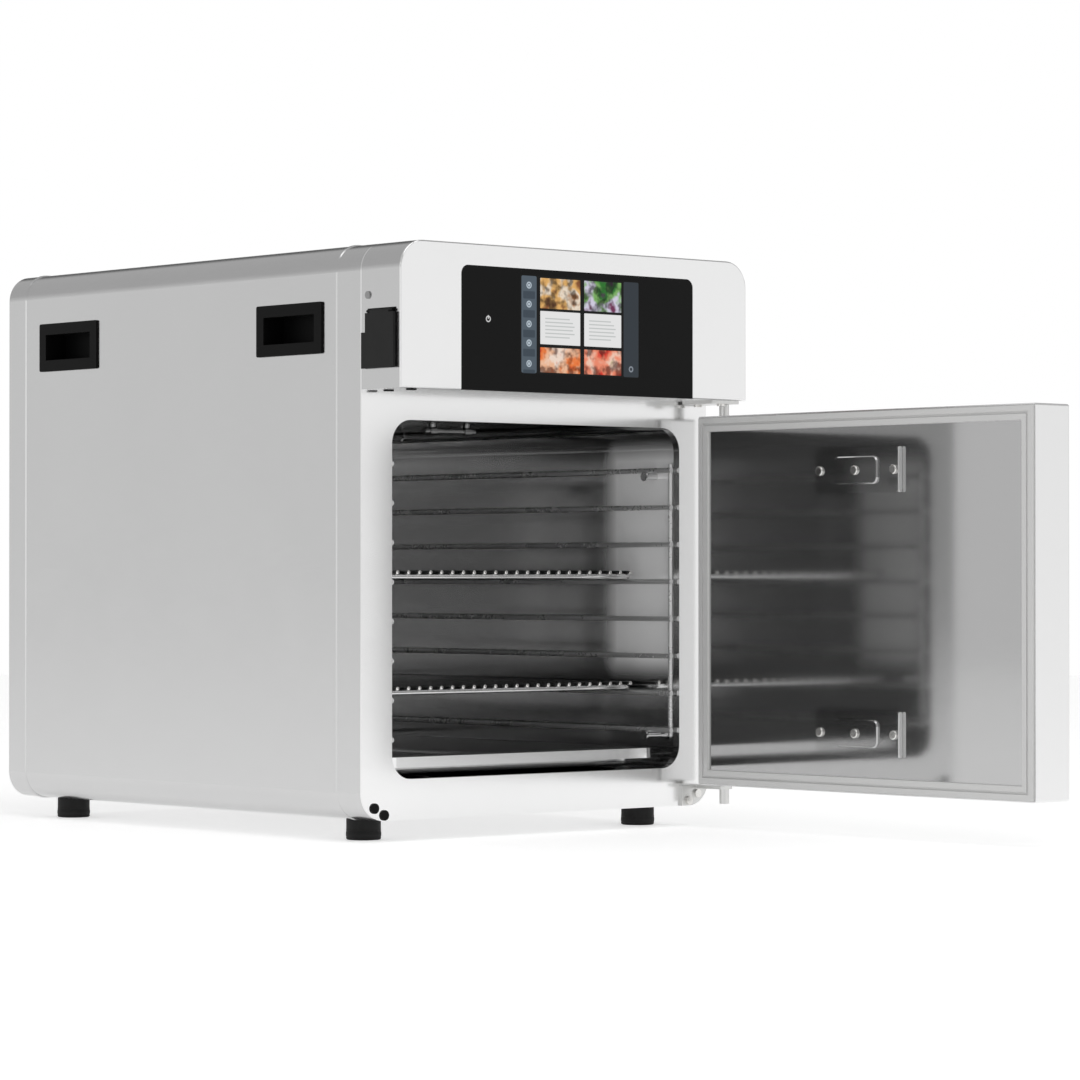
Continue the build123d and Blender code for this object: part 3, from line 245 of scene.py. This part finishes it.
# steels: tone is what the metal gives back of the light, grain is lines to the metre along x, y and z
steels = {
    "casing_steel": dict(tone=grey(0.60), roughness=0.20, grain=(1400, 30, 1400), lines=0.000003, wear=0.03),
    "front_steel": dict(
        tone=grey(0.80), roughness=0.26, grain=(40, 1400, 1400), lines=0.0000015, tint=0.01, wear=0.02),
    "liner_steel": dict(
        tone=grey(0.66), roughness=0.09, grain=(1200, 30, 1200), lines=0.0000006, wear=0.005,
        # painted shade toward the ceiling and floor, painted light on the walls beside the door
        paintedShadeAndLight={"middle": 0.221, "spared": 0.125, "fade": 0.035, "tone": 0.50,
              "paintedLightPatch": (-0.30, 0.150, -0.176, 0.366), "haze": 0.88, "bright": 1.0}),
    "cover_steel": dict(
        tone=grey(0.46), roughness=0.09, grain=(1200, 30, 1200), lines=0.0000004, wear=0.006, polish=0.95),
    "slide_steel": dict(tone=grey(0.82), roughness=0.34, grain=grey(300), lines=0.000001, polish=0.8),
    "sensor_steel": dict(tone=grey(0.34), roughness=0.22, grain=grey(500)),
    "door_mirror": dict(
        tone=grey(0.49), roughness=0.07, grain=(1200, 30, 1200), lines=0.0000004, wear=0.006, polish=0.91),
    "head_plate": dict(
        tone=grey(0.84), roughness=0.20, grain=(40, 1400, 1400), lines=0.000001, tint=0.01, wear=0.02,
        # painted shade: a dark band along the plate's top edge, under the casing
        paintedShadePatch={"area": (-0.196, 0.5434, 0.196, 0.560), "tone": 0.30, "upright": True}),
    "pan_steel": dict(
        tone=grey(0.84), roughness=0.24, grain=(30, 900, 900), lines=0.000002, wear=0.03,
        # painted shade: the pan darker inside the cavity, its front lip left bright
        paintedShadePatch={"area": (-0.1625, -0.2285, 0.1625, 0.2100), "tone": 0.24}),
    "rack_wire": dict(tone=grey(0.60), roughness=0.28, grain=grey(400), lines=0.000004, polish=0.6),
    "frame_steel": dict(
        tone=grey(0.83), roughness=0.15, grain=(40, 1400, 1400), lines=0.000001, tint=0.01, wear=0.02),
    "screw_grey": dict(tone=grey(0.32), roughness=0.32, grain=grey(500)),
    "label_alloy": dict(tone=(0.62, 0.63, 0.64), roughness=0.38, grain=(30, 900, 900)),
    "rear_steel": dict(tone=grey(0.56), roughness=0.42, grain=grey(300), wear=0.08),
    "wire_chrome": dict(tone=grey(0.72), roughness=0.12, grain=grey(400), lines=0.000006),
    "shelf_wire": dict(
        tone=grey(0.74), roughness=0.14, grain=grey(400), lines=0.000004,
        # painted shade: the wires darker behind their front ends
        paintedShadePatch={"area": (-0.171, -0.2225, 0.171, 0.204), "tone": 0.16}),
    "hinge_steel": dict(tone=(0.66, 0.66, 0.65), roughness=0.30, grain=(500, 20, 500)),
    "fastener_steel": dict(tone=(0.74, 0.73, 0.71), roughness=0.20, grain=grey(600)),
}
plastics = {
    "black_plastic": dict(
        tone=(0.0015, 0.0015, 0.0016), roughness=0.42, dust=0.005, Specular_IOR_Level=0.12),
    "handle_plastic": dict(tone=grey(0.0025), roughness=0.5, dust=0.004, Specular_IOR_Level=0.08),
    "black_rubber": dict(
        tone=grey(0.007), roughness=0.62, grain=600.0, depth=0.00006, dust=0.03, Specular_IOR_Level=0.25),
    "grey_silicone": dict(tone=(0.62, 0.62, 0.615), roughness=0.45, grain=500.0, dust=0.02),
    "nylon": dict(tone=(0.74, 0.72, 0.66), roughness=0.38, Subsurface_Weight=0.15),
    "display_black": dict(tone=(0.01, 0.01, 0.011), roughness=0.30),
    "limiter_black": dict(tone=(0.02, 0.019, 0.018), roughness=0.35, grain=700.0),
    "cable_jacket": dict(tone=(0.55, 0.13, 0.05), roughness=0.5, grain=300.0),
    "magnet_grey": dict(tone=(0.07, 0.07, 0.075), roughness=0.5, grain=400.0),
    "mineral_wool": dict(tone=(0.62, 0.56, 0.40), roughness=0.95, grain=220.0, depth=0.002, dust=0.5),
    "circuit_green": dict(tone=(0.012, 0.11, 0.045), roughness=0.32, grain=500.0, Coat_Weight=0.4),
}
finishes = {name: brushed(name, **facts) for name, facts in steels.items()}
finishes.update({name: moulded(name, **facts) for name, facts in plastics.items()})
print("finishes made:", len(finishes))


# the control glass and what it shows, in metres across (x) and up (z); a box is left, bottom, right, top
screen = {
    "display": (-0.0735, 0.4285, 0.0745, 0.5187), "displayCorner": 0.0012, "brightness": 0.9,
    "nav": (-0.0720, 0.4290, -0.0535, 0.5182), "side": (0.0550, 0.4290, 0.0740, 0.5182), "barCorner": 0.0015,
    "navHeights": (0.5096, 0.4922, 0.4740, 0.4565, 0.4375),
    "icon": {"radius": 0.0026, "line": 0.0011, "soft": 0.0005}, "dot": {"half": 0.0012, "corner": 0.0004},
    "caption": {
        "inset": 0.002, "bottom": 0.0125, "top": 0.0055, "corner": 0.001, "soft": 0.0006, "share": 0.8},
    "gear": {"spot": (0.0645, 0.4365), "radius": 0.0022, "line": 0.0013, "soft": 0.0005},
    "power": {"spot": (-0.1120, 0.4765), "radius": 0.0024, "line": 0.0012, "soft": 0.0006},
    "powerStroke": {"box": (-0.1126, 0.4765, -0.1114, 0.4800), "corner": 0.0003, "soft": 0.0005},
    "columns": ((-0.0490, 0.0004), (0.0054, 0.0520)),
    "rows": ((0.4890, 0.5170), (0.4560, 0.4866), (0.4300, 0.4530)), "tileCorner": 0.0006,
}
screenTones = {
    "back": (0.07,), "nav": (0.33, 0.375, 0.415), "side": (0.21, 0.235, 0.26), "caption": (0.23, 0.27, 0.31),
    "icon": (0.74, 0.79, 0.83), "gear": (0.55, 0.58, 0.62), "card": (0.925,), "text": (0.62, 0.65, 0.64),
    "power": (0.86,), "glass": (0.06,), "glassLit": (0.03,),
}
# grey lines on a card, each ends a little differently
textLines = {
    "count": 6, "first": 0.0062, "pitch": 0.0034, "tall": 0.0011, "left": 0.006, "right": 0.003,
    "endShort": 0.010, "endLong": 0.004, "stagger": 0.002, "corner": 0.0004, "share": 0.55,
}
# the pictures: blurred heaps of something colourful, nothing in particular
foodLook = {
    "stretch": (1, 0.3, 1), "drift": 1.7, "scale": 40.0, "heaps": (3.0, 0.55), "firstStop": 0.30,
    "stopSpan": 0.40, "finer": 2.6, "shade": (2.0, 0.5), "shadeFrom": 0.46, "shadeFade": 0.16,
    "shadeShare": 0.75, "shadeTone": 0.35, "firstSeed": 0.37, "seedStep": 0.61,
}
foods = (
    ((0.30, 0.22, 0.20), (0.55, 0.34, 0.20), (0.90, 0.70, 0.42), (0.94, 0.88, 0.80), (0.70, 0.48, 0.30)),
    ((0.30, 0.24, 0.30), (0.18, 0.46, 0.18), (0.50, 0.70, 0.40), (0.84, 0.82, 0.90), (0.45, 0.20, 0.34)),
    ((0.80, 0.20, 0.12), (0.94, 0.50, 0.26), (0.95, 0.74, 0.60), (0.96, 0.88, 0.82), (0.90, 0.40, 0.22)),
    ((0.70, 0.12, 0.14), (0.88, 0.24, 0.18), (0.95, 0.56, 0.44), (0.96, 0.82, 0.74), (0.66, 0.76, 0.34)),
)
smudges = {"stretch": (1, 1, 2), "noise": (22.0, 4.0, 0.65), "spared": 0.45, "base": 0.05, "reach": 0.25}


def foodTile(glass, seed, colours):
    where = glass.place(foodLook["stretch"], (seed, 0, seed * foodLook["drift"]))
    heaps = glass.noise(where, foodLook["scale"], *foodLook["heaps"])
    shade = glass.noise(where, foodLook["scale"] * foodLook["finer"], *foodLook["shade"])
    step = foodLook["stopSpan"] / (len(colours) - 1)
    stops = [(foodLook["firstStop"] + step * i, srgb(*c)) for i, c in enumerate(colours)]
    picture = glass.ramp(heaps, *stops, smooth=True)
    shaded = (shade - foodLook["shadeFrom"]).over(foodLook["shadeFade"]) * foodLook["shadeShare"]
    return glass.mix(shaded, picture, srgb(*[c * foodLook["shadeTone"] for c in colours[0]]))


def shown(name):
    return srgb(*screenTones[name])


def navigation(glass, x, z, picture):
    # the pale bars at the left and right with their round marks
    picture = glass.mix(panel(x, z, screen["nav"], screen["barCorner"]), picture, shown("nav"))
    picture = glass.mix(panel(x, z, screen["side"], screen["barCorner"]), picture, shown("side"))
    left, right = screen["nav"][0], screen["nav"][2]
    middle = (left + right) / 2
    caption, dot = screen["caption"], screen["dot"]
    for high in screen["navHeights"]:
        inset = caption["inset"]
        under = (left + inset, high - caption["bottom"], right - inset, high - caption["top"])
        lowered = panel(x, z, under, caption["corner"], caption["soft"])
        picture = glass.mix(lowered * caption["share"], picture, shown("caption"))
        core = (middle - dot["half"], high - dot["half"], middle + dot["half"], high + dot["half"])
        icon = ring(x, z, {"spot": (middle, high), **screen["icon"]}).atLeast(
            panel(x, z, core, dot["corner"], screen["icon"]["soft"]))
        picture = glass.mix(icon, picture, shown("icon"))
    return glass.mix(ring(x, z, screen["gear"]), picture, shown("gear"))


def tiles(glass, x, z, picture):
    # pictures in the top and bottom rows, cards with grey lines between them
    spots = [(column, row) for row in (0, 2) for column in (0, 1)]
    for number, ((column, row), colours) in enumerate(zip(spots, foods)):
        (x0, x1), (z0, z1) = screen["columns"][column], screen["rows"][row]
        tile = foodTile(glass, foodLook["firstSeed"] + number * foodLook["seedStep"], colours)
        picture = glass.mix(panel(x, z, (x0, z0, x1, z1), screen["tileCorner"]), picture, tile)
    z0, z1 = screen["rows"][1]
    text = textLines
    for x0, x1 in screen["columns"]:
        picture = glass.mix(panel(x, z, (x0, z0, x1, z1), screen["tileCorner"]), picture, shown("card"))
        for line in range(text["count"]):
            top = z1 - text["first"] - line * text["pitch"]
            ragged = text["endLong"] + text["stagger"] * (line % 2)
            short = text["endShort"] if line in (0, text["count"] - 1) else ragged
            box = (x0 + text["left"], top - text["tall"], x1 - text["right"] - short, top)
            bar = panel(x, z, box, text["corner"], text["corner"])
            picture = glass.mix(bar * text["share"], picture, shown("text"))
    return picture


def glassFinish():
    glass = Finish("black_glass", Specular_IOR_Level=0.08, IOR=1.5, Emission_Strength=screen["brightness"])
    x, _, z = glass.axes()
    picture = tiles(glass, x, z, navigation(glass, x, z, shown("back")))
    lit = panel(x, z, screen["display"], screen["displayCorner"])
    stroke = screen["powerStroke"]
    power = ring(x, z, screen["power"]).atLeast(panel(x, z, stroke["box"], stroke["corner"], stroke["soft"]))
    smudge = glass.noise(glass.place(smudges["stretch"]), *smudges["noise"])
    glass.feed(
        Base_Color=glass.mix(lit, shown("glass"), shown("glassLit")),
        Emission_Color=glass.mix(lit.atLeast(power), (0, 0, 0), glass.mix(power, picture, shown("power"))),
        Roughness=smudges["base"] + (smudge - smudges["spared"]).clamped() * smudges["reach"],
    )
    return glass


finishes["black_glass"] = glassFinish()

# nodes whose own finish is more exact than the one their material slot names
ownFinish = {
    "outer_casing": "casing_steel", "front_frame": "frame_steel", "head_front_plate": "head_plate",
    "head_screws": "screw_grey", "door_liner": "door_mirror", "vent_covers": "cover_steel",
    "upper_vent_slide": "slide_steel", "lower_vent_slide": "slide_steel", "air_sensor": "sensor_steel",
    "upper_shelf": "shelf_wire", "lower_shelf": "shelf_wire", "drip_pan": "pan_steel",
    "side_rack_left": "rack_wire", "side_rack_right": "rack_wire",
    "pocket_handle_left_front": "handle_plastic", "pocket_handle_left_rear": "handle_plastic",
    "pocket_handle_right_front": "handle_plastic", "pocket_handle_right_rear": "handle_plastic",
}
for name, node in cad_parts.items():
    for slot in node.material_slots:
        finish = ownFinish.get(name, slot.material.name.split(".")[0])
        slot.material = finishes[finish].material
print("finishes put on the frame")


# hand tools for the added pieces
def start(**place):
    bpy.ops.object.select_all(action="DESELECT")
    bpy.ops.mesh.primitive_cylinder_add(**place)
    bpy.ops.object.transform_apply(location=False, rotation=True, scale=True)
    return bpy.context.object


def facing(sides, radius, thick, spot, out=0.0):
    # a short round or many-sided bit whose ends look to the front and rear
    return start(vertices=sides, radius=radius, depth=thick, location=Vector(spot) + Vector((0, out, 0)),
                 rotation=(math.radians(90), 0, 0))


def pick(piece, test):
    # in edit mode, only the faces that pass the test
    bpy.ops.object.mode_set(mode="EDIT")
    bpy.ops.mesh.select_mode(type="FACE")
    bpy.ops.mesh.select_all(action="DESELECT")
    bpy.ops.object.mode_set(mode="OBJECT")
    for face in piece.data.polygons:
        face.select = test(face)
    bpy.ops.object.mode_set(mode="EDIT")


def dome(piece, side, steps):
    # each step insets the end face that looks along side, then lifts it
    pick(piece, lambda face: face.normal.dot(Vector(side)) > 0.9)
    for inset, lift in steps:
        bpy.ops.mesh.inset(thickness=inset)
        bpy.ops.transform.translate(value=[lift * way for way in side])
    bpy.ops.object.mode_set(mode="OBJECT")


def copies(piece, spots):
    # the piece again at each spot, each copy with its own mesh, joined into one
    first = piece.location.copy()
    made = [piece]
    for spot in spots[1:]:
        other = piece.copy()
        other.data = piece.data.copy()
        other.location = first + Vector(spot) - Vector(spots[0])
        bpy.context.collection.objects.link(other)
        made.append(other)
    return joined(*made)


def joined(*parts):
    bpy.ops.object.select_all(action="DESELECT")
    for part in parts:
        part.select_set(True)
    bpy.context.view_layer.objects.active = parts[0]
    bpy.ops.object.join()
    return bpy.context.object


def soften(piece, width):
    bpy.context.view_layer.objects.active = piece
    edge = piece.modifiers.new("edge", "BEVEL")
    edge.width, edge.segments, edge.limit_method, edge.angle_limit = width, 2, "ANGLE", math.radians(40)
    bpy.ops.object.modifier_apply(modifier=edge.name)


def settle(piece, name, finish, body):
    # place into the mesh, smooth, finish and ride
    bpy.ops.object.select_all(action="DESELECT")
    piece.select_set(True)
    bpy.context.view_layer.objects.active = piece
    bpy.ops.object.transform_apply(location=True, rotation=True, scale=True)
    bpy.ops.object.shade_smooth_by_angle(angle=math.radians(35))
    piece.name = name
    piece.data.materials.clear()
    piece.data.materials.append(finishes[finish].material)
    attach(piece, body)


# rounded ends welded on the shelf wires
shelfEnds = {
    "wires": 26, "span": 0.167, "sides": 12, "radius": 0.00185, "thick": 0.0012,
    "steps": ((0.0004, 0.00025), (0.0006, 0.00015)), "front": -0.2270, "rear": 0.2080,
    "heights": {"upper_shelf": 0.2458, "lower_shelf": 0.1378},
}
for shelf, high in shelfEnds["heights"].items():
    step = 2 * shelfEnds["span"] / (shelfEnds["wires"] - 1)
    across = [-shelfEnds["span"] + step * i for i in range(shelfEnds["wires"])]
    rows = []
    for side, deep in ((-1, shelfEnds["front"]), (1, shelfEnds["rear"])):
        end = facing(shelfEnds["sides"], shelfEnds["radius"], shelfEnds["thick"], (across[0], deep, high))
        dome(end, (0, side, 0), shelfEnds["steps"])
        rows.append(copies(end, [(x, deep, high) for x in across]))
    settle(joined(*rows), shelf + "_wire_ends", "fastener_steel", shelf)
print("shelf wire ends made")

# ribbed tread on each rubber foot: two bands round it, a groove and a rib inside that groove
footTread = {
    "across": 0.1714, "along": 0.2325, "up": 0.0052, "sides": 56, "radius": 0.0164, "tall": 0.0075,
    "rib": 0.0011, "narrower": 2.2, "wallOut": 0.0158, "scales": (0.965, 1 / 0.965),
}
spots = [(x, y, footTread["up"]) for x in (-footTread["across"], footTread["across"])
         for y in (-footTread["along"], footTread["along"])]
tread = start(
    vertices=footTread["sides"], radius=footTread["radius"], depth=footTread["tall"], location=spots[0])
for times, scale in enumerate(footTread["scales"]):
    limit = footTread["tall"] / 2 - footTread["rib"] * times * footTread["narrower"]
    pick(tread, lambda face: abs(face.normal.z) < 0.3 and abs(face.center.z) < limit
         and face.center.xy.length > footTread["wallOut"])
    bpy.ops.mesh.inset(thickness=footTread["rib"])
    bpy.ops.transform.resize(value=(scale, scale, 1), center_override=spots[0])
    bpy.ops.object.mode_set(mode="OBJECT")
settle(copies(tread, spots), "foot_treads", "black_rubber", "cabinet")
print("foot treads made")

# rear: wire finger guard over the fan slots, held by four domed screws
fanGuard = {
    "middle": (-0.110, 0.28265, 0.4825), "rings": (0.0095, 0.0185, 0.0275, 0.0365), "ringSides": 56,
    "wire": 0.00075, "wireSides": 8, "spokes": 4, "firstSpoke": 45, "spoke": 0.0388, "spokeIn": 0.0009,
    "spokeSteps": ((0.0002, 0.0002),),
}
guardScrew = {
    "out": 0.0358, "in": 0.0003, "sides": 24, "radius": 0.0034, "thick": 0.0016,
    "steps": ((0.0006, 0.0003), (0.0009, 0.00015), (0.0006, -0.0006)),
}
middle = Vector(fanGuard["middle"])
guard = []
for radius in fanGuard["rings"]:
    bpy.ops.object.select_all(action="DESELECT")
    bpy.ops.mesh.primitive_torus_add(
        major_radius=radius, minor_radius=fanGuard["wire"], major_segments=fanGuard["ringSides"],
        minor_segments=fanGuard["wireSides"], location=middle, rotation=(math.radians(90), 0, 0))
    guard.append(bpy.context.object)
inner, outer = fanGuard["rings"][0], fanGuard["spoke"]
for turn in range(fanGuard["spokes"]):
    angle = math.radians(fanGuard["firstSpoke"] + 360 / fanGuard["spokes"] * turn)
    way = Vector((math.cos(angle), 0, math.sin(angle)))
    bar = start(vertices=fanGuard["wireSides"], radius=fanGuard["wire"], depth=outer - inner,
                location=middle + way * (outer + inner) / 2 - Vector((0, fanGuard["spokeIn"], 0)),
                rotation=(0, math.pi / 2 - angle, 0))
    dome(bar, way, fanGuard["spokeSteps"])
    guard.append(bar)
settle(joined(*guard), "fan_guard", "wire_chrome", "cabinet")
out = guardScrew["out"]
spots = [middle + Vector((x * out, -guardScrew["in"], z * out)) for x in (-1, 1) for z in (-1, 1)]
screw = facing(guardScrew["sides"], guardScrew["radius"], guardScrew["thick"], spots[0])
dome(screw, (0, 1, 0), guardScrew["steps"])
settle(copies(screw, spots), "fan_guard_screws", "fastener_steel", "cabinet")
print("fan guard made")

# blank rating plate with a raised border and four rivets
ratingPlate = {
    "middle": (0.0, 0.2817, 0.395), "wide": 0.094, "tall": 0.052, "thick": 0.0007, "corner": 0.004,
    "cornerSteps": 5, "steps": ((0.0028, 0.0), (0.0003, -0.0002)),
}
plateRivet = {
    "across": 0.0435, "up": 0.0225, "out": 0.0006, "sides": 20, "radius": 0.0017, "thick": 0.0009,
    "steps": ((0.0005, 0.0003), (0.0005, 0.00012)),
}
bpy.ops.object.select_all(action="DESELECT")
bpy.ops.mesh.primitive_cube_add(size=1, location=ratingPlate["middle"])
plate = bpy.context.object
plate.scale = (ratingPlate["wide"], ratingPlate["thick"], ratingPlate["tall"])
bpy.ops.object.transform_apply(location=False, rotation=False, scale=True)
bpy.ops.object.mode_set(mode="EDIT")
bpy.ops.mesh.select_mode(type="EDGE")
bpy.ops.mesh.select_all(action="DESELECT")
bpy.ops.object.mode_set(mode="OBJECT")
for edge in plate.data.edges:
    a, b = [plate.data.vertices[v].co for v in edge.vertices]
    edge.select = abs(a.y - b.y) > ratingPlate["thick"] / 2
bpy.ops.object.mode_set(mode="EDIT")
bpy.ops.mesh.bevel(offset=ratingPlate["corner"], segments=ratingPlate["cornerSteps"])
bpy.ops.object.mode_set(mode="OBJECT")
dome(plate, (0, 1, 0), ratingPlate["steps"])
settle(plate, "rating_plate", "label_alloy", "cabinet")
across, up = plateRivet["across"], plateRivet["up"]
spots = [Vector(ratingPlate["middle"]) + Vector((x * across, plateRivet["out"], z * up))
         for x in (-1, 1) for z in (-1, 1)]
rivet = facing(plateRivet["sides"], plateRivet["radius"], plateRivet["thick"], spots[0])
dome(rivet, (0, 1, 0), plateRivet["steps"])
settle(copies(rivet, spots), "rating_plate_rivets", "fastener_steel", "cabinet")

# bonding stud beside the power inlet: washer, nut and stud, each with how far out its middle is
bondingStud = {
    "spot": (0.172, 0.2815, 0.4825),
    "washer": {"sides": 40, "radius": 0.0062, "thick": 0.0006, "out": 0.0003, "bevel": 0.00012},
    "nut": {"sides": 6, "radius": 0.0046, "thick": 0.0014, "out": 0.0012, "bevel": 0.0001,
            "steps": ((0.0006, 0.0001),)},
    "stud": {"sides": 24, "radius": 0.0022, "thick": 0.0019, "out": 0.00105, "steps": ((0.0004, 0.0001),)},
}
bits = []
for kind in ("washer", "nut", "stud"):
    facts = bondingStud[kind]
    bit = facing(facts["sides"], facts["radius"], facts["thick"], bondingStud["spot"], facts["out"])
    if "steps" in facts:
        dome(bit, (0, 1, 0), facts["steps"])
    if "bevel" in facts:
        soften(bit, facts["bevel"])
    bits.append(bit)
settle(joined(*bits), "bonding_stud", "fastener_steel", "cabinet")
print("rating plate and bonding stud made")


# studio: pale floor, a white room with dimmer and brighter patches, and a soft light overhead
studio = {
    "floorRadius": 6.0, "floorSides": 96, "floorTone": 0.9, "floorUneven": 0.01, "floorGlow": 0.47,
    "floorNoise": (3.0, 4.0, 0.6), "edge": (0.15, 0.22), "overhead": 0.55, "flag": 0.12,
    "flagWay": (0.66, 0.751, 0.78, 0.08),
}
# patches of wall: direction x and y, where it starts and how fast it comes in, how much it adds
patches = {
    "left": (-1.0, 0.0, 0.10, 0.50, -0.15),
    "leftFront": (-0.72, -0.69, 0.90, 0.07, -0.40),
    "strip": (-0.98, -0.20, 0.93, 0.05, 0.45),
    "right": (1.0, 0.0, 0.82, 0.12, -0.32),
}
softbox = {"place": (-0.6, -2.0, 3.2), "size": 3.0, "energy": 32.0, "tilt": 30, "turn": -12}

bpy.ops.object.select_all(action="DESELECT")
bpy.ops.mesh.primitive_circle_add(
    vertices=studio["floorSides"], radius=studio["floorRadius"], fill_type="NGON", location=(0, 0, 0))
floor = bpy.context.object
floor.name = "floor"
pale = Finish("pale_floor", Roughness=0.6, Emission_Strength=studio["floorGlow"], Emission_Color=(1, 1, 1, 1))
dust = pale.noise(pale.place(), *studio["floorNoise"])
floorTones = [grey(studio["floorTone"] + sign * studio["floorUneven"]) for sign in (-1, 1)]
pale.feed(Base_Color=pale.mix(dust, *floorTones))
floor.data.materials.append(pale.material)

world = bpy.data.worlds.new("room")
bpy.context.scene.world = world
world.use_nodes = True
room = Nodes(world.node_tree)
wayX, wayY, wayZ = room.axes("Generated")


def towards(x, y, start, fade):
    # comes in from 0 to 1 as the direction turns towards x, y
    return (wayX * x + wayY * y - start).over(fade)


low, high = studio["edge"]
above = (wayZ - low).over(high - low)
wall = 1.0
for *where, change in patches.values():
    wall = wall + towards(*where) * change
ceiling = studio["overhead"] + towards(*studio["flagWay"]) * (studio["flag"] - studio["overhead"])
glow = wall * (1.0 - above) + ceiling * above
light = room.add("ShaderNodeBackground", None, {"Color": (1, 1, 1, 1), "Strength": glow})
worldOut = world.node_tree.nodes.new("ShaderNodeOutputWorld")
world.node_tree.links.new(light.socket, worldOut.inputs["Surface"])

bpy.ops.object.light_add(type="AREA", location=softbox["place"])
key = bpy.context.object
key.name = "overheadSoftbox"
key.data.shape, key.data.size, key.data.size_y = "RECTANGLE", softbox["size"], softbox["size"]
key.data.energy = softbox["energy"]
key.rotation_euler = (math.radians(softbox["tilt"]), 0, math.radians(softbox["turn"]))

view = {
    "place": (-2.5035, -3.1320, 0.24265), "tilt": 90.506, "turn": -41.31,
    "lens": 134.63, "sensor": 36.0, "near": 0.05, "far": 50.0,
}
bpy.ops.object.camera_add(
    location=view["place"], rotation=(math.radians(view["tilt"]), 0, math.radians(view["turn"])))
camera = bpy.context.object
camera.data.lens, camera.data.sensor_width = view["lens"], view["sensor"]
camera.data.clip_start, camera.data.clip_end = view["near"], view["far"]
bpy.context.scene.camera = camera
bpy.context.scene.view_settings.view_transform = "Standard"
bpy.context.scene.view_settings.look = "None"
print("studio and camera set")
